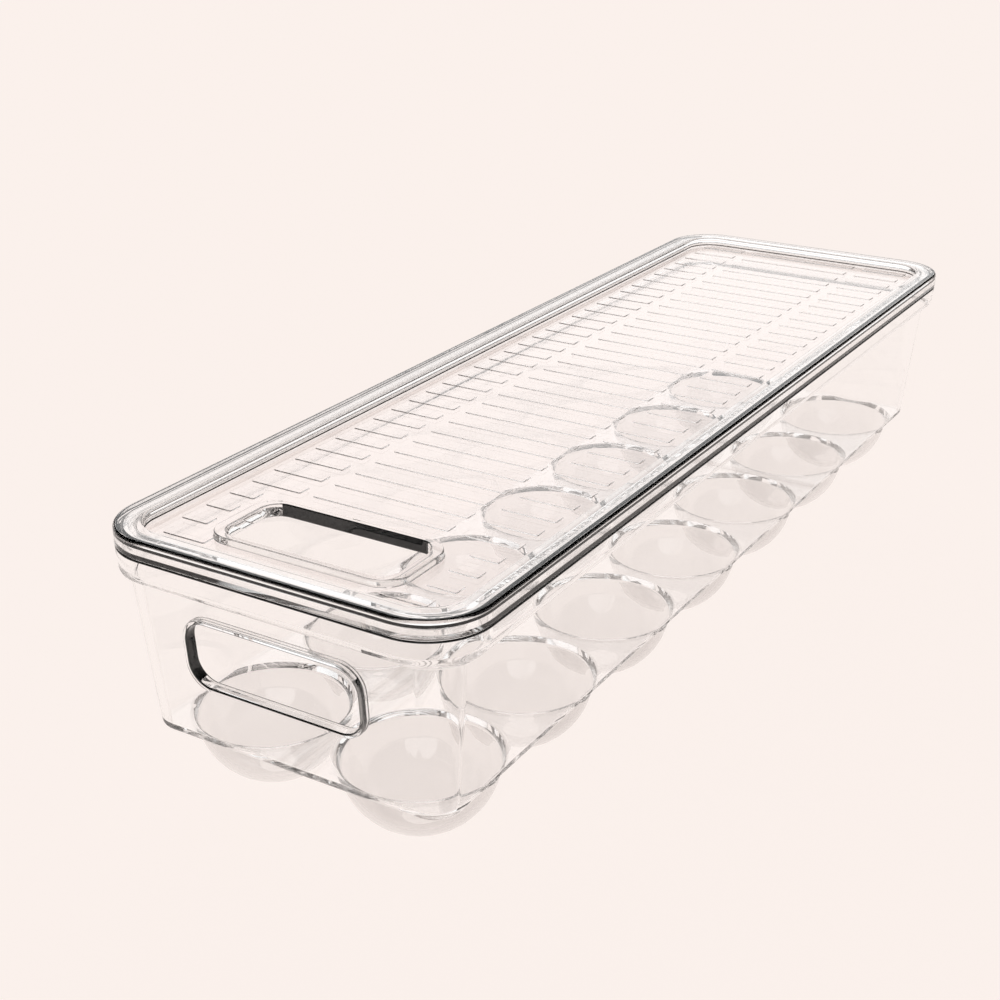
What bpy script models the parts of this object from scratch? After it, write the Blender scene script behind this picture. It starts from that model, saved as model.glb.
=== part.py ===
"""Clear two-row cup holder with a lift-off lid: a moulded bin and a moulded lid.

Metres, +Z up, the length along Y and the front end, with the grip window, at -Y.
The origin is in the middle of the surface that the cups' flat feet stand on.
"""
import math

import bmesh
import bpy
from mathutils import Matrix

# Plan of the lid, which is the largest outline. An inset is measured inwards from it
LID_WIDTH = 0.1138
LID_LENGTH = 0.368
LID_CORNER_RADIUS = 0.018

# Section of the lid
LID_WALL = 0.002
LID_EDGE_ROUNDING = 0.0006
LAND_WIDTH = 0.0078
SKIRT_DEPTH = 0.0052
PANEL_DROP = 0.0029

# Grip hole in the lid, with its raised collar
GRIP_WIDTH = 0.0538
GRIP_LENGTH = 0.0232
GRIP_CORNER_RADIUS = 0.0055
GRIP_SETBACK = 0.0292
COLLAR_END_WIDTH = 0.0034
COLLAR_SIDE_WIDTH = 0.0022
COLLAR_HEIGHT = 0.0018
COLLAR_DRAFT = 0.0004

# Fit between the lid and the bin's rim
FIT_GAP = 0.0003

# Rim of the bin, from its lip down to the drafted wall
FLANGE_INSET = 0.0001
FLANGE_HEIGHT = 0.0022
BAND_STEP = 0.0004
BAND_HEIGHT = 0.0029
SHOULDER_STEP = 0.0044
SHOULDER_HEIGHT = 0.0039

# Drafted wall, floor and outer bottom edge of the bin
BIN_WALL = 0.002
WALL_DRAFT = 0.00385
WALL_CORNER_RADIUS = 0.0095
FLOOR_DEPTH = 0.059
FLOOR_THICKNESS = 0.0018
FOOT_CORNER_RADIUS = 0.0078
FOOT_ROUNDING = 0.0016

# Cups below the floor
CUP_COLUMNS = 2
CUP_RIB = 0.0076
CUP_SIDE_GAP = 0.0011
CUP_END_GAP = 0.0021
CUP_WALL = 0.0016
CUP_MOUTH_ROUNDING = 0.0025
CUP_FOOT_RADIUS = 0.0055
MOUTH_MARGIN = 0.0003

# Grip window in the bin's front wall, with its border
WINDOW_WIDTH = 0.0547
WINDOW_HEIGHT = 0.0194
WINDOW_CORNER_RADIUS = 0.0065
WINDOW_DEPTH = 0.0312
WINDOW_OFFSET = -0.0015
BORDER_WIDTH = 0.0014
BORDER_PROUD = 0.001
BORDER_INNER = 0.0006

# Cutters run this far past the faces that they open
OVERRUN = 0.004

# Facets
CORNER_STEPS = 8
SMALL_CORNER_STEPS = 5
SHOULDER_STEPS = 4
CUP_SEGMENTS = 18
CUP_RINGS = 4
MOUTH_STEPS = 2
SMOOTH_ANGLE = math.radians(35)

# Depths below the lid's top
LIP_DEPTH = LID_WALL + FIT_GAP
FLANGE_DEPTH = SKIRT_DEPTH + FIT_GAP
BAND_DEPTH = FLANGE_DEPTH + FLANGE_HEIGHT
SHOULDER_DEPTH = BAND_DEPTH + BAND_HEIGHT
WALL_DEPTH = SHOULDER_DEPTH + SHOULDER_HEIGHT
FOOT_DEPTH = FLOOR_DEPTH + FLOOR_THICKNESS

# Insets from the lid's outline
LIP_INSET = LID_WALL + FIT_GAP
LIP_INSIDE = LIP_INSET + BIN_WALL
BAND_INSET = FLANGE_INSET + BAND_STEP
WALL_INSET = BAND_INSET + SHOULDER_STEP


def wall_share(depth):
    """Share of the way down the drafted wall, 0 at the shoulder and 1 at the outer bottom."""
    return (depth - WALL_DEPTH) / (FOOT_DEPTH - WALL_DEPTH)


def wall_inset(depth):
    """Inset of the wall's outer face at a depth."""
    return WALL_INSET + WALL_DRAFT * wall_share(depth)


def wall_corner_radius(depth):
    """Radius of the wall's outer corner at a depth."""
    return WALL_CORNER_RADIUS + (FOOT_CORNER_RADIUS - WALL_CORNER_RADIUS) * wall_share(depth)


FLOOR_INSET = wall_inset(FLOOR_DEPTH) + BIN_WALL
FLOOR_CORNER_RADIUS = wall_corner_radius(FLOOR_DEPTH) - BIN_WALL
FLOOR_WIDTH = LID_WIDTH - 2 * FLOOR_INSET
FLOOR_LENGTH = LID_LENGTH - 2 * FLOOR_INSET

# The cups' columns fill the floor's width, and as many rows as fit fill its length
CUP_RADIUS = (FLOOR_WIDTH - 2 * CUP_SIDE_GAP - (CUP_COLUMNS - 1) * CUP_RIB) / (2 * CUP_COLUMNS)
CUP_ROWS = int((FLOOR_LENGTH - 2 * CUP_END_GAP + CUP_RIB) / (2 * CUP_RADIUS + CUP_RIB))
CUP_OUTER_RADIUS = CUP_RADIUS + CUP_WALL
CUP_DROP = math.sqrt(CUP_OUTER_RADIUS ** 2 - CUP_FOOT_RADIUS ** 2)

TOP = FLOOR_DEPTH + CUP_DROP
FLOOR_LEVEL = TOP - FLOOR_DEPTH
PANEL_LEVEL = TOP - PANEL_DROP
COLLAR_LEVEL = PANEL_LEVEL + COLLAR_HEIGHT


def clear_scene():
    """Remove every object of the scene."""
    for obj in list(bpy.data.objects):
        bpy.data.objects.remove(obj, do_unlink=True)


def clear_plastic(name, colour, roughness):
    """Colourless see-through plastic."""
    material = bpy.data.materials.new(name)
    material.use_nodes = True
    shader = material.node_tree.nodes["Principled BSDF"]
    shader.inputs["Base Color"].default_value = (*colour, 1)
    shader.inputs["Roughness"].default_value = roughness
    shader.inputs["Metallic"].default_value = 0
    shader.inputs["IOR"].default_value = 1.5
    shader.inputs["Transmission Weight"].default_value = 1
    return material


def rounded_outline(width, length, radius, steps):
    """Points round a rectangle with round corners, counter-clockwise and centred on the origin."""
    points = []
    for sign_x, sign_y, quarter in ((1, 1, 0), (-1, 1, 1), (-1, -1, 2), (1, -1, 3)):
        for step in range(steps + 1):
            angle = math.radians(90) * (quarter + step / steps)
            x = sign_x * (width / 2 - radius) + radius * math.cos(angle)
            y = sign_y * (length / 2 - radius) + radius * math.sin(angle)
            points.append((x, y))
    return points


def plan_outline(inset, radius):
    """Rounded outline at an inset from the lid's own outline."""
    return rounded_outline(LID_WIDTH - 2 * inset, LID_LENGTH - 2 * inset, radius, CORNER_STEPS)


def parallel_outline(inset):
    """Outline that runs parallel to the lid's outline."""
    return plan_outline(inset, LID_CORNER_RADIUS - inset)


def add_loft(bm, rings):
    """Closed body through rings of (outline, level), each with as many points as the next."""
    loops = [[bm.verts.new((x, y, level)) for x, y in outline] for outline, level in rings]
    for lower, upper in zip(loops, loops[1:]):
        for index, corner in enumerate(lower):
            following = (index + 1) % len(lower)
            bm.faces.new((corner, lower[following], upper[following], upper[index]))
    bm.faces.new(reversed(loops[0]))
    bm.faces.new(loops[-1])


def add_turned(bm, profile, centre_x, centre_y):
    """Closed body turned about a vertical axis from (radius, level) points, listed upwards."""
    rings = []
    for radius, level in profile:
        outline = []
        for segment in range(CUP_SEGMENTS):
            angle = math.radians(360) * (segment + 0.5) / CUP_SEGMENTS
            outline.append((centre_x + radius * math.cos(angle), centre_y + radius * math.sin(angle)))
        rings.append((outline, level))
    add_loft(bm, rings)


def mesh_object(name, bm):
    """Object from a bmesh, with its faces pointing out."""
    bmesh.ops.recalc_face_normals(bm, faces=bm.faces)
    mesh = bpy.data.meshes.new(name)
    bm.to_mesh(mesh)
    bm.free()
    obj = bpy.data.objects.new(name, mesh)
    bpy.context.collection.objects.link(obj)
    return obj


def loft_object(name, rings):
    """Object with one closed body through rings of (outline, level)."""
    bm = bmesh.new()
    add_loft(bm, rings)
    return mesh_object(name, bm)


def combine(obj, tool, operation):
    """Add, cut or intersect one object with a tool that stays hidden."""
    tool.hide_render = True
    tool.display_type = 'WIRE'
    boolean = obj.modifiers.new(tool.name, 'BOOLEAN')
    boolean.operation = operation
    boolean.solver = 'EXACT'
    boolean.object = tool


def finish(obj, material):
    """Give a finished piece its material and smooth round faces."""
    obj.data.materials.append(material)
    obj.data.shade_smooth()
    obj.data.set_sharp_from_angle(angle=SMOOTH_ANGLE)


def shoulder_rings(upper_inset, lower_inset, lower_radius):
    """(inset, radius, depth) down a quarter round that turns in to the top of the wall."""
    upper_radius = LID_CORNER_RADIUS - upper_inset
    rings = []
    for step in range(SHOULDER_STEPS + 1):
        angle = math.radians(90) * step / SHOULDER_STEPS
        share = 1 - math.cos(angle)
        inset = upper_inset + (lower_inset - upper_inset) * share
        radius = upper_radius + (lower_radius - upper_radius) * share
        rings.append((inset, radius, SHOULDER_DEPTH + SHOULDER_HEIGHT * math.sin(angle)))
    return rings


def bin_outside():
    """Solid outer form of the bin: lip, flange, band, shoulder, drafted wall and rounded bottom."""
    foot_start = FOOT_DEPTH - FOOT_ROUNDING
    foot_inset = wall_inset(foot_start)
    foot_radius = wall_corner_radius(foot_start)
    places = [
        (LIP_INSET, LID_CORNER_RADIUS - LIP_INSET, LIP_DEPTH),
        (LIP_INSET, LID_CORNER_RADIUS - LIP_INSET, FLANGE_DEPTH),
        (FLANGE_INSET, LID_CORNER_RADIUS - FLANGE_INSET, FLANGE_DEPTH),
        (FLANGE_INSET, LID_CORNER_RADIUS - FLANGE_INSET, BAND_DEPTH),
        (BAND_INSET, LID_CORNER_RADIUS - BAND_INSET, BAND_DEPTH),
        *shoulder_rings(BAND_INSET, WALL_INSET, WALL_CORNER_RADIUS),
    ]
    for share in (0, 0.5, 1):
        angle = math.radians(90) * share
        turn = FOOT_ROUNDING * (1 - math.cos(angle))
        depth = foot_start + FOOT_ROUNDING * math.sin(angle)
        places.append((foot_inset + turn, foot_radius - turn, depth))
    return [(plan_outline(inset, radius), TOP - depth) for inset, radius, depth in reversed(places)]


def bin_inside():
    """Hollow of the bin above its floor, open at the top."""
    places = [
        (LIP_INSIDE, LID_CORNER_RADIUS - LIP_INSIDE, LIP_DEPTH - OVERRUN),
        *shoulder_rings(LIP_INSIDE, WALL_INSET + BIN_WALL, WALL_CORNER_RADIUS - BIN_WALL),
        (FLOOR_INSET, FLOOR_CORNER_RADIUS, FLOOR_DEPTH),
    ]
    return [(plan_outline(inset, radius), TOP - depth) for inset, radius, depth in reversed(places)]


def cup_centres():
    """Plan places of the cups, in rows along the length."""
    reach_x = FLOOR_WIDTH / 2 - CUP_SIDE_GAP - CUP_RADIUS
    reach_y = FLOOR_LENGTH / 2 - CUP_END_GAP - CUP_RADIUS
    centres = []
    for column in range(CUP_COLUMNS):
        for row in range(CUP_ROWS):
            x = reach_x * (2 * column / (CUP_COLUMNS - 1) - 1)
            y = reach_y * (2 * row / (CUP_ROWS - 1) - 1)
            centres.append((x, y))
    return centres


def cup_outside():
    """Outer bowls, from their flat feet up into the floor's thickness."""
    top_angle = math.asin(FLOOR_THICKNESS / 2 / CUP_OUTER_RADIUS)
    foot_angle = math.acos(CUP_FOOT_RADIUS / CUP_OUTER_RADIUS)
    profile = []
    for ring in range(CUP_RINGS + 1):
        angle = foot_angle + (top_angle - foot_angle) * ring / CUP_RINGS
        radius = CUP_OUTER_RADIUS * math.cos(angle)
        profile.append((radius, FLOOR_LEVEL - CUP_OUTER_RADIUS * math.sin(angle)))
    bm = bmesh.new()
    for x, y in cup_centres():
        add_turned(bm, profile, x, y)
    return mesh_object("cup_outside", bm)


def cup_inside():
    """Inner bowls with rounded mouths, kept clear of the walls above the floor's edge."""
    mouth_angle = math.asin(CUP_MOUTH_ROUNDING / CUP_RADIUS)
    bottom_angle = math.acos(CUP_FOOT_RADIUS / CUP_RADIUS)
    mouth_radius = CUP_RADIUS + CUP_MOUTH_ROUNDING
    profile = []
    for ring in range(CUP_RINGS):
        angle = bottom_angle + (mouth_angle - bottom_angle) * ring / CUP_RINGS
        profile.append((CUP_RADIUS * math.cos(angle), FLOOR_LEVEL - CUP_RADIUS * math.sin(angle)))
    for step in range(MOUTH_STEPS + 1):
        angle = math.radians(90) * step / MOUTH_STEPS
        radius = mouth_radius - CUP_MOUTH_ROUNDING * math.cos(angle)
        profile.append((radius, FLOOR_LEVEL - CUP_MOUTH_ROUNDING * (1 - math.sin(angle))))
    profile.append((mouth_radius, FLOOR_LEVEL + OVERRUN))
    bm = bmesh.new()
    for x, y in cup_centres():
        add_turned(bm, profile, x, y)
    bowls = mesh_object("cup_inside", bm)

    zone_outline = plan_outline(FLOOR_INSET + MOUTH_MARGIN, FLOOR_CORNER_RADIUS)
    zone = loft_object("cup_zone", [(zone_outline, -OVERRUN), (zone_outline, FLOOR_LEVEL + OVERRUN / 2)])
    combine(bowls, zone, 'INTERSECT')
    return bowls


def window_tool(name, margin, inner_reach, outer_reach):
    """Rounded block square to the front wall, at the window, from inside the wall to outside it."""
    outline = rounded_outline(
        WINDOW_WIDTH + 2 * margin,
        WINDOW_HEIGHT + 2 * margin,
        WINDOW_CORNER_RADIUS + margin,
        SMALL_CORNER_STEPS,
    )
    tool = loft_object(name, [(outline, -inner_reach), (outline, outer_reach)])
    draft_angle = math.atan(WALL_DRAFT / (FOOT_DEPTH - WALL_DEPTH))
    face_y = wall_inset(WINDOW_DEPTH) - LID_LENGTH / 2
    place = Matrix.Translation((WINDOW_OFFSET, face_y, TOP - WINDOW_DEPTH))
    tool.matrix_world = place @ Matrix.Rotation(math.radians(90) + draft_angle, 4, 'X')
    return tool


def make_bin():
    """The bin: one moulding with its cups and its bordered grip window."""
    body = loft_object("bin", bin_outside())
    combine(body, loft_object("bin_inside", bin_inside()), 'DIFFERENCE')
    combine(body, cup_outside(), 'UNION')
    border = window_tool("window_border", BORDER_WIDTH, BIN_WALL + BORDER_INNER, BORDER_PROUD)
    combine(body, border, 'UNION')
    combine(body, cup_inside(), 'DIFFERENCE')
    combine(body, window_tool("window_hole", 0, OVERRUN * 2, OVERRUN), 'DIFFERENCE')
    finish(body, clear_plastic("clear_bin", (0.95, 0.96, 0.96), 0.04))


def grip_outline(margin_x, margin_y, radius):
    """Outline of the lid's grip hole with a margin round it, in its place."""
    centre_y = GRIP_SETBACK - LID_LENGTH / 2
    outline = rounded_outline(
        GRIP_WIDTH + 2 * margin_x,
        GRIP_LENGTH + 2 * margin_y,
        radius,
        SMALL_CORNER_STEPS,
    )
    return [(x, y + centre_y) for x, y in outline]


def make_lid():
    """The lid: raised land with its skirt and channel, sunken panel and collared grip hole."""
    under_land = TOP - LID_WALL
    channel_end = LAND_WIDTH - LID_WALL
    panel_under = PANEL_LEVEL - LID_WALL
    places = [
        (channel_end, panel_under),
        (channel_end, under_land),
        (LID_WALL, under_land),
        (LID_WALL, TOP - SKIRT_DEPTH),
        (0, TOP - SKIRT_DEPTH),
        (0, TOP - LID_EDGE_ROUNDING),
        (LID_EDGE_ROUNDING, TOP),
        (LAND_WIDTH - LID_EDGE_ROUNDING, TOP),
        (LAND_WIDTH, TOP - LID_EDGE_ROUNDING),
        (LAND_WIDTH, PANEL_LEVEL),
    ]
    body = loft_object("lid", [(parallel_outline(inset), level) for inset, level in places])

    collar_radius = GRIP_CORNER_RADIUS + COLLAR_SIDE_WIDTH
    collar_foot = grip_outline(COLLAR_END_WIDTH, COLLAR_SIDE_WIDTH, collar_radius)
    collar_top = grip_outline(
        COLLAR_END_WIDTH - COLLAR_DRAFT,
        COLLAR_SIDE_WIDTH - COLLAR_DRAFT,
        collar_radius - COLLAR_DRAFT,
    )
    collar_rings = [
        (collar_foot, PANEL_LEVEL - LID_WALL / 2),
        (collar_foot, PANEL_LEVEL),
        (collar_top, COLLAR_LEVEL),
    ]
    combine(body, loft_object("grip_collar", collar_rings), 'UNION')
    hole = grip_outline(0, 0, GRIP_CORNER_RADIUS)
    hole_rings = [(hole, panel_under - OVERRUN), (hole, COLLAR_LEVEL + OVERRUN)]
    combine(body, loft_object("grip_hole", hole_rings), 'DIFFERENCE')
    finish(body, clear_plastic("clear_lid", (0.96, 0.97, 0.97), 0.03))


clear_scene()
make_bin()
make_lid()
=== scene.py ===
"""Clear two-row cup holder: the moulded bin and its lift-off lid, on a plain pale floor.

Metres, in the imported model's frame: +Z up, the front end with the grip window at -Y, the cups'
flat feet on Z = 0. Both pieces are rebuilt here as fine moulded surfaces with rounded edges.
"""

import math

import bmesh
import bpy
from mathutils import Matrix, Vector


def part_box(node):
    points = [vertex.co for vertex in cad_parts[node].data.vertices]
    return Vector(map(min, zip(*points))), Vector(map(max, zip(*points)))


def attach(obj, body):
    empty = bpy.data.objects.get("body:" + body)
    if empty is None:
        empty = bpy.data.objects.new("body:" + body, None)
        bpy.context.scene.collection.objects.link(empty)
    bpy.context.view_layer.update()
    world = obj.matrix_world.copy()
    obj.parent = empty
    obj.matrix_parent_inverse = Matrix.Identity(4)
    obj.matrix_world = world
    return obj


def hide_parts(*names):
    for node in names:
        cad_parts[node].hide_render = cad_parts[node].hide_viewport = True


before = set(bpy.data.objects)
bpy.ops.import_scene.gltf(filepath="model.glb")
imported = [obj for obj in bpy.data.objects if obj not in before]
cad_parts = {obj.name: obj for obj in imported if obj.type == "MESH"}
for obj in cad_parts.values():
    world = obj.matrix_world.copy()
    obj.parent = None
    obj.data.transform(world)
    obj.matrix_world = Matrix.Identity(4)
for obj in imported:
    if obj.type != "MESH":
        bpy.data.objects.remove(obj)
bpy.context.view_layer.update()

# Outline and top of the lid, from the frame. An inset is measured inwards from this outline
lid_low, lid_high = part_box("lid")
LID_WIDTH = lid_high.x - lid_low.x
LID_LENGTH = lid_high.y - lid_low.y
TOP = lid_high.z
LID_CORNER_RADIUS = 0.018

# Section of the lid
LID_WALL = 0.002
LAND_WIDTH = 0.0078
SKIRT_DEPTH = 0.0052
PANEL_DROP = 0.0029
LAND_EDGE = 0.0009
OUTLINE_WIDTH = 0.00045
SKIRT_EDGE = 0.0003
SKIRT_FOOT = 0.0009
SKIRT_LEAD_IN = 0.0008
CHANNEL_EDGE = 0.0006
CHANNEL_CHAMFER = 0.0006
CHANNEL_LINE = 0.00015
PANEL_FOOT_EDGE = 0.00025

# Grip hole in the lid, with its raised collar
GRIP_WIDTH = 0.0538
GRIP_LENGTH = 0.0232
GRIP_CORNER_RADIUS = 0.0055
GRIP_SETBACK = 0.0292
COLLAR_END_WIDTH = 0.0034
COLLAR_SIDE_WIDTH = 0.0022
COLLAR_HEIGHT = 0.0018
COLLAR_EDGE = 0.0005
COLLAR_FOOT = 0.0004
GRIP_EDGE = 0.0004

# Relief of short raised bars on the lid's panel, in three columns
BAR_PITCH = 0.00971
BAR_LENGTH = 0.0046
BAR_ROWS = 36
BAR_START = 0.01275
BAR_HEIGHT = 0.00025
BAR_CORNER_RADIUS = 0.0007
BAR_EDGE = 0.00016
BAR_CENTRE_REACH = 0.0222
BAR_SIDE_START = 0.0263
BAR_SIDE_END = 0.0436
BAR_FIRST_START = 0.0273
BAR_FIRST_END = 0.0414
PAD_HALF_WIDTH = 0.0347
PAD_LENGTH = 0.0465

# Rim, wall and floor of the bin
FIT_GAP = 0.0003
BIN_WALL = 0.002
LIP_EDGE = 0.0005
FLANGE_INSET = 0.0001
FLANGE_HEIGHT = 0.0022
FLANGE_EDGE = 0.00042
BAND_STEP = 0.0004
BAND_HEIGHT = 0.0029
BAND_EDGE = 0.00012
SHOULDER_STEP = 0.0044
SHOULDER_HEIGHT = 0.0039
SHOULDER_BULGE_SHARE = 0.5
SHOULDER_TURN_SHARE = 0.8
SHOULDER_CREASE = 0.0002
INSIDE_DROP = 0.0012
INSIDE_RISE = 0.0008
INSIDE_TURN = 0.001
WALL_DRAFT = 0.00385
WALL_CORNER_RADIUS = 0.0095
FLOOR_DEPTH = 0.059
FLOOR_THICKNESS = 0.0018
FLOOR_EDGE = 0.0003
FOOT_CORNER_RADIUS = 0.0078
FOOT_ROUNDING = 0.0016

# Cups below the floor
CUP_COLUMNS = 2
CUP_RIB = 0.0076
CUP_SIDE_GAP = 0.0011
CUP_END_GAP = 0.0021
CUP_WALL = 0.0016
CUP_MOUTH_ROUNDING = 0.0025
CUP_FOOT_RADIUS = 0.0055
MOUTH_MARGIN = 0.0003

# Grip window in the bin's front wall, with its border
WINDOW_WIDTH = 0.0547
WINDOW_HEIGHT = 0.0194
WINDOW_CORNER_RADIUS = 0.0065
WINDOW_DEPTH = 0.0312
WINDOW_OFFSET = -0.0015
BORDER_WIDTH = 0.0014
BORDER_PROUD = 0.001
BORDER_INNER = 0.0006
BORDER_EDGE = 0.0004
BORDER_FOOT = 0.0003
WINDOW_EDGE = 0.0004

# Cutters run this far past the faces that they open, and flat ends lie this far inside an outline
OVERRUN = 0.004
END_INSET = 0.003

# A flat end beside a rounded edge starts this many reaches of the edge away from its corner
END_REACHES = 2

# Share of an edge's reach that keeps its arc apart from the next corner
CLEAR_REACH = 0.99

# Facets
CORNER_STEPS = 18
SMALL_CORNER_STEPS = 12
BAR_CORNER_STEPS = 2
EDGE_STEPS = 8
SHOULDER_STEPS = 10
CUP_SEGMENTS = 64
CUP_RINGS = 20
MOUTH_STEPS = 8
SMOOTH_ANGLE = math.radians(32)
QUARTER_TURN = math.radians(90)
FULL_TURN = math.radians(360)

# Material slots of a moulding: clear faces, painted dark lines along edges that stand in for dark
# refractions, and painted shade on the bowls and the panel
CLEAR = 0
LINE = 1
PAINTED_SHADE = 2
SLOTS = 3

# Least part of a face's normal along one axis: on the window's top and sides, and on a flat face
FACING_SHARE = 0.6
FLAT_SHARE = 0.9

# How a rounded corner is drawn by painted dark refraction lines: not at all, over all of it, or
# close to its start
PLAIN = 0
WHOLE = 1
START = 2
START_SHARE = 0.3

# Depths below the lid's top
LIP_DEPTH = LID_WALL + FIT_GAP
FLANGE_DEPTH = SKIRT_DEPTH + FIT_GAP
BAND_DEPTH = FLANGE_DEPTH + FLANGE_HEIGHT
WALL_DEPTH = BAND_DEPTH + BAND_HEIGHT + SHOULDER_HEIGHT
FOOT_DEPTH = FLOOR_DEPTH + FLOOR_THICKNESS
PANEL_UNDER_DEPTH = PANEL_DROP + LID_WALL

# Insets from the lid's outline
LIP_INSET = LID_WALL + FIT_GAP
LIP_INSIDE = LIP_INSET + BIN_WALL
BAND_INSET = FLANGE_INSET + BAND_STEP
WALL_INSET = BAND_INSET + SHOULDER_STEP
CHANNEL_END = LAND_WIDTH - LID_WALL

# Depth where the shoulder starts, outside and inside
SHOULDER_DEPTH = BAND_DEPTH + BAND_HEIGHT


def wall_share(depth):
    """Share of the way down the drafted wall, 0 at the shoulder and 1 at the outer bottom."""
    return (depth - WALL_DEPTH) / (FOOT_DEPTH - WALL_DEPTH)


def wall_inset(depth):
    """Inset of the wall's outer face at a depth."""
    return WALL_INSET + WALL_DRAFT * wall_share(depth)


def wall_corner_radius(depth):
    """Radius of the wall's outer corner at a depth."""
    return WALL_CORNER_RADIUS + (FOOT_CORNER_RADIUS - WALL_CORNER_RADIUS) * wall_share(depth)


FLOOR_INSET = wall_inset(FLOOR_DEPTH) + BIN_WALL
FLOOR_CORNER_RADIUS = wall_corner_radius(FLOOR_DEPTH) - BIN_WALL
FLOOR_WIDTH = LID_WIDTH - 2 * FLOOR_INSET
FLOOR_LENGTH = LID_LENGTH - 2 * FLOOR_INSET
FLOOR_LEVEL = TOP - FLOOR_DEPTH
PANEL_LEVEL = TOP - PANEL_DROP
COLLAR_LEVEL = PANEL_LEVEL + COLLAR_HEIGHT
GRIP_CENTRE_Y = GRIP_SETBACK - LID_LENGTH / 2

# The cups' columns fill the floor's width, and as many rows as fit fill its length
CUP_RADIUS = (FLOOR_WIDTH - 2 * CUP_SIDE_GAP - (CUP_COLUMNS - 1) * CUP_RIB) / (2 * CUP_COLUMNS)
CUP_ROWS = int((FLOOR_LENGTH - 2 * CUP_END_GAP + CUP_RIB) / (2 * CUP_RADIUS + CUP_RIB))
CUP_OUTER_RADIUS = CUP_RADIUS + CUP_WALL


def rounded_path(corners, steps):
    """Points along straight runs whose corners become arcs, and the slot of each run between them.

    Each corner is (point, reach, lines): its arc starts and ends that far from it. The arc is
    round in the point's first two values, and a third value follows along with it. On a sharp
    corner the painted dark refraction lines cover the run that follows it.
    """
    points = []
    slots = []
    for index, (corner, reach, lines) in enumerate(corners):
        if not reach:
            points.append(corner)
            slots.append(LINE if lines == WHOLE else CLEAR)
            continue
        back = corners[index - 1][0] - corner
        ahead = corners[index + 1][0] - corner
        start = corner + back * (reach / back.xy.length)
        end = corner + ahead * (reach / ahead.xy.length)
        weight = math.sin(back.xy.angle(ahead.xy) / 2)
        for step in range(steps + 1):
            share = step / steps
            pull = 2 * share * (1 - share) * weight
            total = (1 - share) ** 2 + pull + share ** 2
            points.append((start * (1 - share) ** 2 + corner * pull + end * share ** 2) / total)
            in_line = lines == WHOLE or lines == START and 0 < share < START_SHARE
            slots.append(LINE if in_line and step < steps else CLEAR)
    return points, slots[:-1]


def rounded_outline(width, length, radius, steps):
    """Points round a rectangle with round corners, counter-clockwise and centred on the origin."""
    points = []
    for sign_x, sign_y, quarter in ((1, 1, 0), (-1, 1, 1), (-1, -1, 2), (1, -1, 3)):
        for step in range(steps + 1):
            angle = QUARTER_TURN * (quarter + step / steps)
            x = sign_x * (width / 2 - radius) + radius * math.cos(angle)
            y = sign_y * (length / 2 - radius) + radius * math.sin(angle)
            points.append((x, y))
    return points


def section_rings(corners, steps):
    """Rings and slots round the holder for a section of (inset, depth, corner radius), upwards."""
    points, slots = rounded_path(corners, steps)
    rings = []
    for inset, depth, radius in reversed(points):
        width = LID_WIDTH - 2 * inset
        length = LID_LENGTH - 2 * inset
        rings.append((rounded_outline(width, length, radius, CORNER_STEPS), TOP - depth))
    return rings, slots[::-1]


def parallel(inset, depth, reach=0, lines=PLAIN):
    """Section corner on an outline that runs parallel to the lid's outline."""
    return Vector((inset, depth, LID_CORNER_RADIUS - inset)), reach, lines


def add_loft(bm, rings, slots):
    """Closed body through rings of (outline, level), with a material slot for each run."""
    loops = [[bm.verts.new((x, y, level)) for x, y in outline] for outline, level in rings]
    for lower, upper, slot in zip(loops, loops[1:], slots):
        for index, corner in enumerate(lower):
            following = (index + 1) % len(lower)
            face = bm.faces.new((corner, lower[following], upper[following], upper[index]))
            face.material_index = slot
    bm.faces.new(reversed(loops[0])).material_index = slots[0]
    bm.faces.new(loops[-1]).material_index = slots[-1]


def add_turned(bm, profile, centre_x, centre_y, slot):
    """Closed body turned about a vertical axis from (radius, level) points, listed upwards."""
    rings = []
    for radius, level in profile:
        outline = []
        for segment in range(CUP_SEGMENTS):
            angle = FULL_TURN * (segment + 0.5) / CUP_SEGMENTS
            x = centre_x + radius * math.cos(angle)
            y = centre_y + radius * math.sin(angle)
            outline.append((x, y))
        rings.append((outline, level))
    add_loft(bm, rings, [slot] * (len(rings) - 1))


def mesh_object(name, bm):
    """Object from a bmesh, with its faces pointing out."""
    bmesh.ops.recalc_face_normals(bm, faces=bm.faces)
    mesh = bpy.data.meshes.new(name)
    for _ in range(SLOTS):
        mesh.materials.append(None)
    bm.to_mesh(mesh)
    bm.free()
    obj = bpy.data.objects.new(name, mesh)
    bpy.context.scene.collection.objects.link(obj)
    return obj


def loft_object(name, rings, slots):
    """Object with one closed body through rings of (outline, level)."""
    bm = bmesh.new()
    add_loft(bm, rings, slots)
    return mesh_object(name, bm)


def combine(obj, tool, operation):
    """Add, cut or intersect one object with a tool, which is then deleted."""
    boolean = obj.modifiers.new(tool.name, 'BOOLEAN')
    boolean.operation = operation
    boolean.solver = 'EXACT'
    boolean.object = tool
    evaluated = obj.evaluated_get(bpy.context.evaluated_depsgraph_get())
    mesh = bpy.data.meshes.new_from_object(evaluated)
    obj.modifiers.remove(boolean)
    obj.data = mesh
    bpy.data.objects.remove(tool)


def finish_piece(obj, materials, node):
    """Shade a moulded piece, give it its materials and let it stand for its node on its body."""
    for index, material in enumerate(materials):
        obj.data.materials[index] = material
    while len(obj.data.materials) > len(materials):
        obj.data.materials.pop()
    obj.data.shade_smooth()
    obj.data.set_sharp_from_angle(angle=SMOOTH_ANGLE)
    weighted = obj.modifiers.new("even_shading", 'WEIGHTED_NORMAL')
    weighted.keep_sharp = True
    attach(obj, node)
    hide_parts(node)


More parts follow.
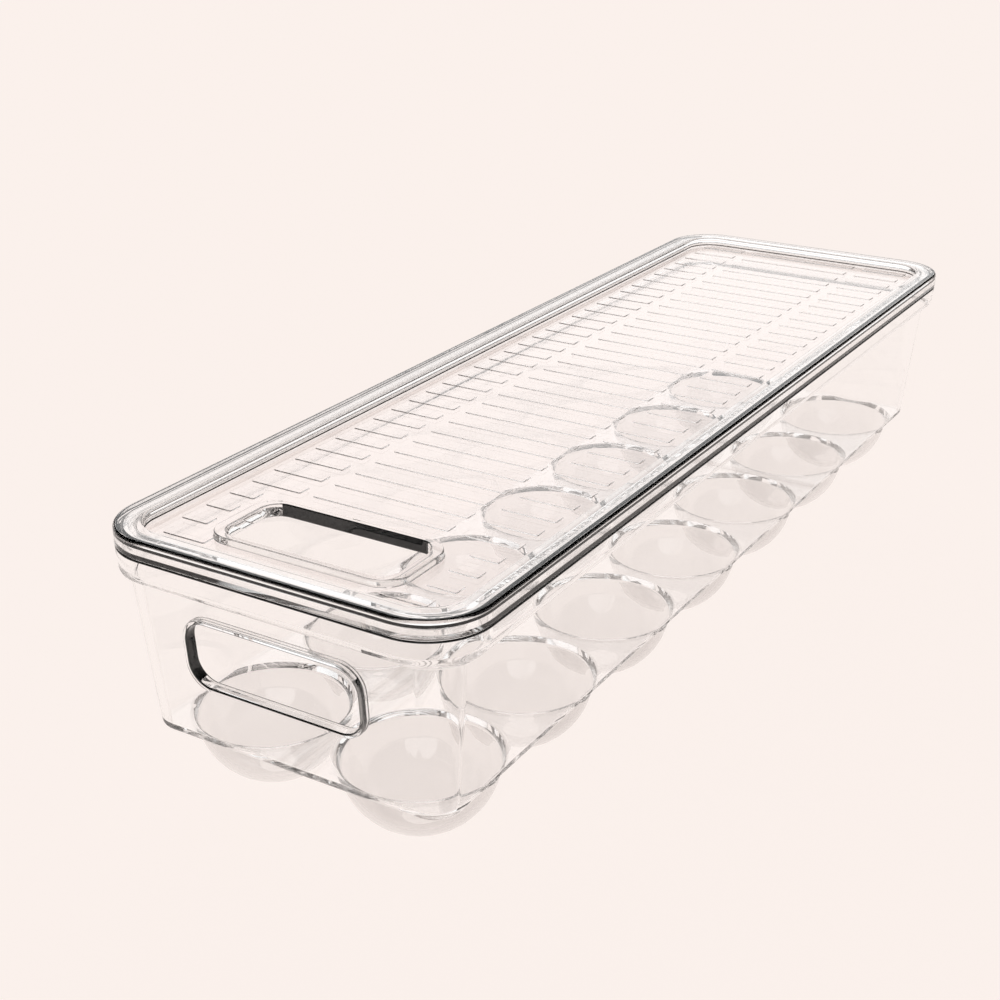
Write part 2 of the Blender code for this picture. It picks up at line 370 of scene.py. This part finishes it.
def clear_back(moulding):
    """Clear finish along the rim of the back end, where the photograph shows no dark lines."""
    # The back end keeps no painted dark refraction lines.
    for face in moulding.data.polygons:
        from_back = LID_LENGTH / 2 - face.center.y
        from_side = LID_WIDTH / 2 - abs(face.center.x)
        under_land = face.center.z < TOP - LAND_EDGE
        if under_land and from_back < min(from_side, CHANNEL_END):
            face.material_index = CLEAR


def clear_front(lid):
    # The front's flat outline strip keeps no painted dark refraction line.
    """Clear finish on the flat part of the outline along the front end, which is a finer line."""
    for face in lid.data.polygons:
        from_front = LID_LENGTH / 2 + face.center.y
        from_side = LID_WIDTH / 2 - abs(face.center.x)
        in_outline = LAND_EDGE < from_front < LAND_EDGE + OUTLINE_WIDTH
        if in_outline and from_front < from_side and face.normal.z > FLAT_SHARE:
            face.material_index = CLEAR


def outer_shoulder():
    """Corners of the shoulder outside, which bulges a little between its two creases."""
    start = Vector((BAND_INSET, SHOULDER_DEPTH, LID_CORNER_RADIUS - BAND_INSET))
    end = Vector((WALL_INSET, WALL_DEPTH, WALL_CORNER_RADIUS))
    square = Vector((start.x, end.y, (start.z + end.z) / 2))
    bulge = ((start + end) / 2).lerp(square, SHOULDER_BULGE_SHARE)
    reach = SHOULDER_TURN_SHARE * min((bulge - start).xy.length, (bulge - end).xy.length)
    return [(start, SHOULDER_CREASE, PLAIN), (bulge, reach, PLAIN), (end, SHOULDER_CREASE, PLAIN)]


def bin_outside():
    """Solid outer form of the bin: lip, flange, band, shoulder, drafted wall and rounded bottom."""
    wall_foot = Vector((wall_inset(FOOT_DEPTH), FOOT_DEPTH, FOOT_CORNER_RADIUS))
    bottom = wall_foot + Vector((END_INSET, 0, -END_INSET))
    corners = [
        parallel(LIP_INSET + LIP_EDGE * END_REACHES, LIP_DEPTH),
        parallel(LIP_INSET, LIP_DEPTH, LIP_EDGE),
        parallel(LIP_INSET, FLANGE_DEPTH, FLANGE_EDGE),
        # Painted dark refraction line round the flange's outer edge
        parallel(FLANGE_INSET, FLANGE_DEPTH, FLANGE_EDGE, WHOLE),
        parallel(FLANGE_INSET, BAND_DEPTH, BAND_EDGE),
        parallel(BAND_INSET, BAND_DEPTH, BAND_EDGE),
        *outer_shoulder(),
        (wall_foot, FOOT_ROUNDING, PLAIN),
        (bottom, 0, PLAIN),
    ]
    return section_rings(corners, SHOULDER_STEPS)


def bin_inside():
    """Hollow of the bin above its floor: lip, shoulder and drafted wall, open at the top."""
    wall_top = Vector((
        WALL_INSET + BIN_WALL,
        WALL_DEPTH - INSIDE_RISE,
        WALL_CORNER_RADIUS - BIN_WALL,
    ))
    wall_foot = Vector((FLOOR_INSET, FLOOR_DEPTH, FLOOR_CORNER_RADIUS))
    bottom = wall_foot + Vector((END_INSET, 0, -END_INSET))
    corners = [
        parallel(LIP_INSIDE - LIP_EDGE, LIP_DEPTH - OVERRUN),
        parallel(LIP_INSIDE - LIP_EDGE, LIP_DEPTH),
        parallel(LIP_INSIDE, LIP_DEPTH, LIP_EDGE),
        parallel(LIP_INSIDE, SHOULDER_DEPTH + INSIDE_DROP, SHOULDER_CREASE),
        (wall_top, INSIDE_TURN, PLAIN),
        (wall_foot, FLOOR_EDGE, PLAIN),
        (bottom, 0, PLAIN),
    ]
    return section_rings(corners, SHOULDER_STEPS)


def cup_centres():
    """Plan places of the cups, in rows along the length."""
    reach_x = FLOOR_WIDTH / 2 - CUP_SIDE_GAP - CUP_RADIUS
    reach_y = FLOOR_LENGTH / 2 - CUP_END_GAP - CUP_RADIUS
    centres = []
    for column in range(CUP_COLUMNS):
        for row in range(CUP_ROWS):
            x = reach_x * (2 * column / (CUP_COLUMNS - 1) - 1)
            y = reach_y * (2 * row / (CUP_ROWS - 1) - 1)
            centres.append((x, y))
    return centres


def cup_outside():
    """Outer bowls, from their flat feet up into the floor's thickness."""
    top_angle = math.asin(FLOOR_THICKNESS / 2 / CUP_OUTER_RADIUS)
    foot_angle = math.acos(CUP_FOOT_RADIUS / CUP_OUTER_RADIUS)
    profile = []
    for ring in range(CUP_RINGS + 1):
        angle = foot_angle + (top_angle - foot_angle) * ring / CUP_RINGS
        radius = CUP_OUTER_RADIUS * math.cos(angle)
        profile.append((radius, FLOOR_LEVEL - CUP_OUTER_RADIUS * math.sin(angle)))
    bm = bmesh.new()
    for x, y in cup_centres():
        # Grey painted shade on the outer bowls, standing in for shadow and dark reflections under
        # the floor
        add_turned(bm, profile, x, y, PAINTED_SHADE)
    return mesh_object("cup_outside", bm)


def cup_inside():
    """Inner bowls with rounded mouths, kept clear of the walls above the floor's edge."""
    mouth_angle = math.asin(CUP_MOUTH_ROUNDING / CUP_RADIUS)
    bottom_angle = math.acos(CUP_FOOT_RADIUS / CUP_RADIUS)
    mouth_radius = CUP_RADIUS + CUP_MOUTH_ROUNDING
    profile = []
    for ring in range(CUP_RINGS):
        angle = bottom_angle + (mouth_angle - bottom_angle) * ring / CUP_RINGS
        profile.append((CUP_RADIUS * math.cos(angle), FLOOR_LEVEL - CUP_RADIUS * math.sin(angle)))
    for step in range(MOUTH_STEPS + 1):
        angle = QUARTER_TURN * step / MOUTH_STEPS
        radius = mouth_radius - CUP_MOUTH_ROUNDING * math.cos(angle)
        profile.append((radius, FLOOR_LEVEL - CUP_MOUTH_ROUNDING * (1 - math.sin(angle))))
    profile.append((mouth_radius, FLOOR_LEVEL + OVERRUN))
    bm = bmesh.new()
    for x, y in cup_centres():
        add_turned(bm, profile, x, y, CLEAR)
    bowls = mesh_object("cup_inside", bm)

    inset = FLOOR_INSET + MOUTH_MARGIN
    outline = rounded_outline(
        LID_WIDTH - 2 * inset,
        LID_LENGTH - 2 * inset,
        FLOOR_CORNER_RADIUS,
        CORNER_STEPS,
    )
    rings = [(outline, -OVERRUN), (outline, FLOOR_LEVEL + OVERRUN / 2)]
    zone = loft_object("cup_zone", rings, [CLEAR])
    combine(bowls, zone, 'INTERSECT')
    return bowls


def margin_rings(width, length, radius, corners):
    """Rings and slots for (margin, level) corners round a rounded rectangle, upwards."""
    points, slots = rounded_path(corners, EDGE_STEPS)
    rings = []
    for margin, level in points:
        outline = rounded_outline(
            width + 2 * margin,
            length + 2 * margin,
            radius + margin,
            SMALL_CORNER_STEPS,
        )
        rings.append((outline, level))
    return rings, slots


def window_tool(name, corners):
    """Rounded block square to the front wall, at the window, from (margin, level) corners."""
    rings = margin_rings(WINDOW_WIDTH, WINDOW_HEIGHT, WINDOW_CORNER_RADIUS, corners)
    tool = loft_object(name, *rings)
    draft_angle = math.atan(WALL_DRAFT / (FOOT_DEPTH - WALL_DEPTH))
    face_y = wall_inset(WINDOW_DEPTH) - LID_LENGTH / 2
    place = Matrix.Translation((WINDOW_OFFSET, face_y, TOP - WINDOW_DEPTH))
    tool.data.transform(place @ Matrix.Rotation(QUARTER_TURN + draft_angle, 4, 'X'))
    return tool


def window_border():
    """Border that stands proud of both faces of the wall, with a small fillet at its foot."""
    inner_face = -(BIN_WALL + BORDER_INNER)
    return window_tool("window_border", [
        (Vector((BORDER_WIDTH - BORDER_EDGE * END_REACHES, inner_face)), 0, PLAIN),
        (Vector((BORDER_WIDTH, inner_face)), BORDER_EDGE, PLAIN),
        (Vector((BORDER_WIDTH, -BIN_WALL)), BORDER_FOOT / 2, PLAIN),
        (Vector((BORDER_WIDTH + BORDER_FOOT, -BIN_WALL)), 0, PLAIN),
        (Vector((BORDER_WIDTH + BORDER_FOOT, 0)), 0, PLAIN),
        (Vector((BORDER_WIDTH, 0)), BORDER_FOOT / 2, PLAIN),
        (Vector((BORDER_WIDTH, BORDER_PROUD)), BORDER_EDGE, PLAIN),
        (Vector((BORDER_WIDTH - BORDER_EDGE * END_REACHES, BORDER_PROUD)), 0, PLAIN),
    ])


def window_hole():
    """Hole through the border, flared at both faces."""
    inner_face = -(BIN_WALL + BORDER_INNER)
    hole = window_tool("window_hole", [
        (Vector((WINDOW_EDGE, inner_face - OVERRUN)), 0, PLAIN),
        (Vector((WINDOW_EDGE, inner_face)), 0, PLAIN),
        (Vector((0, inner_face)), WINDOW_EDGE * CLEAR_REACH, WHOLE),
        (Vector((0, BORDER_PROUD)), WINDOW_EDGE * CLEAR_REACH, WHOLE),
        (Vector((WINDOW_EDGE, BORDER_PROUD)), 0, PLAIN),
        (Vector((WINDOW_EDGE, BORDER_PROUD + OVERRUN)), 0, PLAIN),
    ])
    # Painted dark refraction lines on the window's sides; its top and bottom stay clear
    for face in hole.data.polygons:
        if face.normal.z > FACING_SHARE:
            face.material_index = CLEAR
        elif abs(face.normal.x) > FACING_SHARE:
            face.material_index = LINE
    return hole


def make_bin():
    """The bin: one moulding with its cups and its bordered grip window."""
    body = loft_object("moulded_bin", *bin_outside())
    combine(body, loft_object("bin_hollow", *bin_inside()), 'DIFFERENCE')
    combine(body, cup_outside(), 'UNION')
    combine(body, window_border(), 'UNION')
    combine(body, cup_inside(), 'DIFFERENCE')
    combine(body, window_hole(), 'DIFFERENCE')
    clear_back(body)
    return body


def grip_tool(name, margin_x, margin_y, radius, corners):
    """Body round the lid's grip hole from (margin, level) corners, in its place."""
    width = GRIP_WIDTH + 2 * margin_x
    length = GRIP_LENGTH + 2 * margin_y
    tool = loft_object(name, *margin_rings(width, length, radius, corners))
    tool.data.transform(Matrix.Translation((0, GRIP_CENTRE_Y, 0)))
    return tool


def grip_collar():
    """Raised collar with a small fillet where it leaves the panel."""
    corners = [
        (Vector((COLLAR_FOOT, PANEL_LEVEL - LID_WALL / 2)), 0, PLAIN),
        (Vector((COLLAR_FOOT, PANEL_LEVEL)), 0, PLAIN),
        (Vector((0, PANEL_LEVEL)), COLLAR_FOOT * CLEAR_REACH, PLAIN),
        (Vector((0, COLLAR_LEVEL)), COLLAR_EDGE, PLAIN),
        (Vector((-COLLAR_EDGE * END_REACHES, COLLAR_LEVEL)), 0, PLAIN),
    ]
    radius = GRIP_CORNER_RADIUS + COLLAR_SIDE_WIDTH
    return grip_tool("grip_collar", COLLAR_END_WIDTH, COLLAR_SIDE_WIDTH, radius, corners)


def grip_hole():
    """Hole through the collar and the panel, flared at both faces."""
    under = TOP - PANEL_UNDER_DEPTH
    corners = [
        (Vector((GRIP_EDGE, under - OVERRUN)), 0, PLAIN),
        (Vector((GRIP_EDGE, under)), 0, PLAIN),
        (Vector((0, under)), GRIP_EDGE * CLEAR_REACH, PLAIN),
        (Vector((0, COLLAR_LEVEL)), GRIP_EDGE * CLEAR_REACH, PLAIN),
        (Vector((GRIP_EDGE, COLLAR_LEVEL)), 0, PLAIN),
        (Vector((GRIP_EDGE, COLLAR_LEVEL + OVERRUN)), 0, PLAIN),
    ]
    return grip_tool("grip_hole", 0, 0, GRIP_CORNER_RADIUS, corners)


def paint_far_wall_shade(lid):
    """Painted shade on the wall of the grip hole that looks into the whole length of the panel: a
    near-black line that stands in for dark refractions.
    """
    wall_y = GRIP_CENTRE_Y + GRIP_LENGTH / 2
    for face in lid.data.polygons:
        beside_wall = abs(face.center.y - wall_y) < GRIP_EDGE and face.normal.y < 0
        if beside_wall and abs(face.center.x) < GRIP_WIDTH / 2 and face.center.z < COLLAR_LEVEL:
            face.material_index = LINE


def paint_panel_shade(lid):
    """Painted shade on the flat faces of the sunken panel, above and below: a slightly darker,
    pinker copy of the clear plastic.
    """
    for face in lid.data.polygons:
        reach_x = LID_WIDTH / 2 - abs(face.center.x)
        reach_y = LID_LENGTH / 2 - abs(face.center.y)
        flat = abs(face.normal.z) > FLAT_SHARE and face.material_index == CLEAR
        if flat and min(reach_x, reach_y) > LAND_WIDTH:
            face.material_index = PAINTED_SHADE


def bar_spans(row, near_edge):
    """(start, end) across the panel of the bars in a row, which starts at near_edge."""
    if row == 0:
        return ((-BAR_FIRST_END, -BAR_FIRST_START), (BAR_FIRST_START, BAR_FIRST_END))
    beside_pad = near_edge < PAD_LENGTH - LID_LENGTH / 2
    if beside_pad:
        return ((-BAR_SIDE_END, -PAD_HALF_WIDTH), (PAD_HALF_WIDTH, BAR_SIDE_END))
    return (
        (-BAR_SIDE_END, -BAR_SIDE_START),
        (-BAR_CENTRE_REACH, BAR_CENTRE_REACH),
        (BAR_SIDE_START, BAR_SIDE_END),
    )


def add_bar(bm, start, end, near_edge):
    """One raised bar with rounded corners and edges, rooted in the panel."""
    centre_x = (start + end) / 2
    centre_y = near_edge + BAR_LENGTH / 2
    corners = [
        (Vector((0, PANEL_LEVEL - LID_WALL / 2)), 0, PLAIN),
        (Vector((0, PANEL_LEVEL + BAR_HEIGHT)), BAR_EDGE, PLAIN),
        (Vector((-BAR_EDGE * END_REACHES, PANEL_LEVEL + BAR_HEIGHT)), 0, PLAIN),
    ]
    points, slots = rounded_path(corners, BAR_CORNER_STEPS)
    rings = []
    for margin, level in points:
        outline = rounded_outline(
            end - start + 2 * margin,
            BAR_LENGTH + 2 * margin,
            BAR_CORNER_RADIUS + margin,
            BAR_CORNER_STEPS,
        )
        rings.append(([(x + centre_x, y + centre_y) for x, y in outline], level))
    add_loft(bm, rings, slots)


def panel_bars():
    """All the panel's bars in one tool."""
    bm = bmesh.new()
    for row in range(BAR_ROWS):
        near_edge = BAR_START - LID_LENGTH / 2 + BAR_PITCH * row
        for start, end in bar_spans(row, near_edge):
            add_bar(bm, start, end, near_edge)
    return mesh_object("panel_bars", bm)


def make_lid():
    """The lid: raised land with its skirt and channel, sunken panel with its relief, grip hole."""
    # Corners marked WHOLE or START carry painted dark refraction lines round the land, skirt,
    # channel and panel's foot
    corners = [
        parallel(LAND_WIDTH + END_INSET, PANEL_DROP),
        parallel(LAND_WIDTH, PANEL_DROP, PANEL_FOOT_EDGE, WHOLE),
        parallel(LAND_WIDTH, 0, LAND_EDGE),
        parallel(LAND_EDGE + OUTLINE_WIDTH, 0, 0, WHOLE),
        parallel(0, 0, LAND_EDGE, START),
        parallel(0, SKIRT_DEPTH, SKIRT_EDGE, WHOLE),
        parallel(SKIRT_FOOT, SKIRT_DEPTH),
        parallel(LID_WALL, SKIRT_DEPTH - SKIRT_LEAD_IN),
        parallel(LID_WALL, LID_WALL + CHANNEL_CHAMFER, 0, WHOLE),
        parallel(LID_WALL + CHANNEL_CHAMFER, LID_WALL, 0, WHOLE),
        parallel(LID_WALL + CHANNEL_CHAMFER + CHANNEL_LINE, LID_WALL),
        parallel(CHANNEL_END, LID_WALL, CHANNEL_EDGE),
        parallel(CHANNEL_END, PANEL_UNDER_DEPTH, CHANNEL_EDGE),
        parallel(CHANNEL_END + END_INSET, PANEL_UNDER_DEPTH),
    ]
    body = loft_object("moulded_lid", *section_rings(corners, EDGE_STEPS))
    combine(body, grip_collar(), 'UNION')
    combine(body, panel_bars(), 'UNION')
    combine(body, grip_hole(), 'DIFFERENCE')
    paint_far_wall_shade(body)
    paint_panel_shade(body)
    clear_back(body)
    clear_front(body)
    return body


# Unevenness of the clear plastic: sizes of its features, fineness of their noise, and strength
FLOW_SIZE = 0.03
FLOW_DETAIL = 2
FLOW_STRETCH = 4
SCUFF_SIZE = 0.009
SCUFF_DETAIL = 6
POLISH_ROUGHNESS = 0
WORN_ROUGHNESS = 0.012
RIPPLE_DETAIL = 1
RIPPLE_HEIGHT = 0.00002
RIPPLE_STRENGTH = 0.04

# Values between which nearly all of a noise lies
NOISE_LOW = 0.3
NOISE_HIGH = 0.7

# Optics of the plastic, and the two colours that each finish varies between. The clear finish keeps
# the plastic's own near-white colour; the colours of the edge lines, bowls and panel are painted
# shade
PLASTIC_IOR = 1.5
CLEAR_TINTS = ((1.0, 1.0, 1.0), (0.994, 0.993, 0.992))
PAINTED_EDGE_SHADE_TINTS = ((0.010, 0.011, 0.011), (0.003, 0.003, 0.003))
PAINTED_BOWL_SHADE_TINTS = ((0.85, 0.84, 0.835), (0.75, 0.735, 0.73))
PAINTED_PANEL_SHADE_TINTS = ((0.975, 0.94, 0.93), (0.965, 0.925, 0.915))
CLEAR_TRANSMISSION = 1
EDGE_TRANSMISSION = 0.15


def add_node(tree, kind, **inputs):
    """Shader node with some of its inputs set. A name's underscores stand for spaces."""
    node = tree.nodes.new(kind)
    for name, value in inputs.items():
        node.inputs[name.replace("_", " ")].default_value = value
    return node


def noise_at(tree, size, detail, stretch=1):
    """Noise over the moulding with features of a size, drawn out along the length by stretch."""
    place = add_node(tree, "ShaderNodeTexCoord")
    scale = add_node(tree, "ShaderNodeMapping", Scale=(1, 1 / stretch, 1))
    noise = add_node(tree, "ShaderNodeTexNoise", Scale=1 / size, Detail=detail)
    tree.links.new(place.outputs["Object"], scale.inputs["Vector"])
    tree.links.new(scale.outputs["Vector"], noise.inputs["Vector"])
    return noise.outputs["Fac"]


def ranged(tree, value, low, high):
    """Value between 0 and 1 spread over a range."""
    node = add_node(
        tree,
        "ShaderNodeMapRange",
        From_Min=NOISE_LOW,
        From_Max=NOISE_HIGH,
        To_Min=low,
        To_Max=high,
    )
    tree.links.new(value, node.inputs["Value"])
    return node.outputs["Result"]


def mixed_colour(tree, share):
    """Mix of two colours by a share, as the sockets of both colours and of the result."""
    mix = tree.nodes.new("ShaderNodeMix")
    mix.data_type = 'RGBA'
    tree.links.new(share, mix.inputs[0])
    first, second = [socket for socket in mix.inputs if socket.type == 'RGBA']
    result = [socket for socket in mix.outputs if socket.type == 'RGBA'][0]
    return first, second, result


def moulded_plastic(name, tints_and_painted_shades, transmission):
    """Moulded plastic: flow marks between two colours, scuffs in its polish, faint ripples. On the
    edge lines, bowls and panel the two colours are painted shade.
    """
    material = bpy.data.materials.new(name)
    material.use_nodes = True
    tree = material.node_tree
    shader = tree.nodes["Principled BSDF"]
    shader.inputs["Metallic"].default_value = 0
    shader.inputs["IOR"].default_value = PLASTIC_IOR
    shader.inputs["Transmission Weight"].default_value = transmission

    flow = ranged(tree, noise_at(tree, FLOW_SIZE, FLOW_DETAIL, FLOW_STRETCH), 0, 1)
    first, second, mixed_base_colour = mixed_colour(tree, flow)
    first.default_value = (*tints_and_painted_shades[0], 1)
    second.default_value = (*tints_and_painted_shades[1], 1)
    tree.links.new(mixed_base_colour, shader.inputs["Base Color"])

    scuffs = noise_at(tree, SCUFF_SIZE, SCUFF_DETAIL, FLOW_STRETCH)
    roughness = ranged(tree, scuffs, POLISH_ROUGHNESS, WORN_ROUGHNESS)
    tree.links.new(roughness, shader.inputs["Roughness"])

    ripple = add_node(tree, "ShaderNodeBump", Strength=RIPPLE_STRENGTH, Distance=RIPPLE_HEIGHT)
    height = noise_at(tree, SCUFF_SIZE, RIPPLE_DETAIL, FLOW_STRETCH)
    tree.links.new(height, ripple.inputs["Height"])
    tree.links.new(ripple.outputs["Normal"], shader.inputs["Normal"])

    return material


# Floor: it lights itself, and a share of its colour also answers to the light that falls on it
FLOOR_COLOUR = (0.965, 0.880, 0.838)
FLOOR_HALF = 6
FLOOR_GLOW = 0.985
FLOOR_LIT_SHARE = 0.1


def make_floor():
    """Plain pale floor with a glow of its own, so that it looks as evenly lit as a paper sweep."""
    bm = bmesh.new()
    bmesh.ops.create_grid(bm, x_segments=1, y_segments=1, size=FLOOR_HALF)
    floor = mesh_object("floor", bm)
    material = bpy.data.materials.new("pale_paper")
    material.use_nodes = True
    shader = material.node_tree.nodes["Principled BSDF"]
    lit_colour = [FLOOR_LIT_SHARE * part for part in FLOOR_COLOUR]
    shader.inputs["Base Color"].default_value = (*lit_colour, 1)
    shader.inputs["Roughness"].default_value = 1
    shader.inputs["Specular IOR Level"].default_value = 0
    shader.inputs["Emission Color"].default_value = (*FLOOR_COLOUR, 1)
    shader.inputs["Emission Strength"].default_value = FLOOR_GLOW
    floor.data.materials.clear()
    floor.data.materials.append(material)


# Soft boxes of the studio: (azimuth, elevation, half angle, blur, brightness), angles in degrees.
# Azimuth 0 is behind the holder, at +Y, and 90 to its right, at +X
STUDIO_DARK = 0.005
BACKDROP_COLOUR = (0.965, 0.888, 0.847)
BACKDROP_HEIGHT_SHARE = 0.15
BACKDROP_BLUR_SHARE = 0.03
BACK_BOX = (-31, 18, 23, 1, 1.2)
NEAR_BOX = (149, 18, 23, 1, 1.2)
SOFT_BOXES = (BACK_BOX, NEAR_BOX)


def add_soft_box(tree, place, azimuth, elevation, half_angle, blur, brightness):
    """Brightness over the sky of one round soft box."""
    turn, lift = math.radians(azimuth), math.radians(elevation)
    toward = (math.sin(turn) * math.cos(lift), math.cos(turn) * math.cos(lift), math.sin(lift))
    facing = tree.nodes.new("ShaderNodeVectorMath")
    facing.operation = 'DOT_PRODUCT'
    facing.inputs[1].default_value = toward
    tree.links.new(place, facing.inputs[0])
    glow = add_node(
        tree,
        "ShaderNodeMapRange",
        From_Min=math.cos(math.radians(half_angle + blur)),
        From_Max=math.cos(math.radians(half_angle - blur)),
        To_Max=brightness,
    )
    tree.links.new(facing.outputs["Value"], glow.inputs["Value"])
    return glow.outputs["Result"]


def make_world():
    """Pale backdrop round a dark studio with soft boxes, which the rim shows as lines."""
    world = bpy.data.worlds.new("studio")
    bpy.context.scene.world = world
    world.use_nodes = True
    tree = world.node_tree
    place = tree.nodes.new("ShaderNodeTexCoord").outputs["Generated"]
    sky = None
    for box in SOFT_BOXES:
        glow = add_soft_box(tree, place, *box)
        join = tree.nodes.new("ShaderNodeMath")
        join.operation = 'MAXIMUM'
        tree.links.new(glow, join.inputs[0])
        if sky is None:
            join.inputs[1].default_value = STUDIO_DARK
        else:
            tree.links.new(sky, join.inputs[1])
        sky = join.outputs["Value"]

    height = tree.nodes.new("ShaderNodeSeparateXYZ")
    tree.links.new(place, height.inputs["Vector"])
    low = add_node(
        tree,
        "ShaderNodeMapRange",
        From_Min=BACKDROP_HEIGHT_SHARE + BACKDROP_BLUR_SHARE,
        From_Max=BACKDROP_HEIGHT_SHARE - BACKDROP_BLUR_SHARE,
    )
    tree.links.new(height.outputs["Z"], low.inputs["Value"])
    seen = tree.nodes.new("ShaderNodeMath")
    seen.operation = 'MAXIMUM'
    tree.links.new(low.outputs["Result"], seen.inputs[0])
    tree.links.new(tree.nodes.new("ShaderNodeLightPath").outputs["Is Camera Ray"], seen.inputs[1])
    studio, backdrop, colour = mixed_colour(tree, seen.outputs["Value"])
    backdrop.default_value = (*BACKDROP_COLOUR, 1)
    tree.links.new(sky, studio)
    tree.links.new(colour, tree.nodes["Background"].inputs["Color"])


# Camera, placed from the middle of the lid's top
CAMERA_OFFSET = Vector((0.2331, -0.4520, 0.1722))
CAMERA_AZIMUTH = math.radians(31.382)
CAMERA_ELEVATION = math.radians(23.445)
CAMERA_LENS_MM = 58.04
SENSOR_MM = 36
CAMERA_CLIP_END = 20


def make_camera():
    """Camera at the photograph's viewing angle."""
    data = bpy.data.cameras.new("camera")
    data.lens = CAMERA_LENS_MM
    data.sensor_width = SENSOR_MM
    data.clip_end = CAMERA_CLIP_END
    camera = bpy.data.objects.new("camera", data)
    camera.location = Vector((0, 0, TOP)) + CAMERA_OFFSET
    camera.rotation_euler = (QUARTER_TURN - CAMERA_ELEVATION, 0, CAMERA_AZIMUTH)
    bpy.context.scene.collection.objects.link(camera)
    bpy.context.scene.camera = camera


LIGHT_BOUNCES = 64


def set_light_paths():
    """Enough bounces for light to pass through every wall of both pieces."""
    cycles = bpy.context.scene.cycles
    cycles.max_bounces = LIGHT_BOUNCES
    cycles.transmission_bounces = LIGHT_BOUNCES
    cycles.glossy_bounces = LIGHT_BOUNCES
    cycles.use_denoising = True
    bpy.context.scene.view_settings.view_transform = 'Standard'


bin_materials = [
    moulded_plastic("bin_plastic", CLEAR_TINTS, CLEAR_TRANSMISSION),
    moulded_plastic("bin_painted_edge_shade", PAINTED_EDGE_SHADE_TINTS, EDGE_TRANSMISSION),
    moulded_plastic("bin_bowl_painted_shade", PAINTED_BOWL_SHADE_TINTS, CLEAR_TRANSMISSION),
]
lid_materials = [
    moulded_plastic("lid_plastic", CLEAR_TINTS, CLEAR_TRANSMISSION),
    moulded_plastic("lid_painted_edge_shade", PAINTED_EDGE_SHADE_TINTS, EDGE_TRANSMISSION),
    moulded_plastic("lid_panel_painted_shade", PAINTED_PANEL_SHADE_TINTS, CLEAR_TRANSMISSION),
]
finish_piece(make_bin(), bin_materials, "bin")
finish_piece(make_lid(), lid_materials, "lid")
make_floor()
make_world()
make_camera()
set_light_paths()
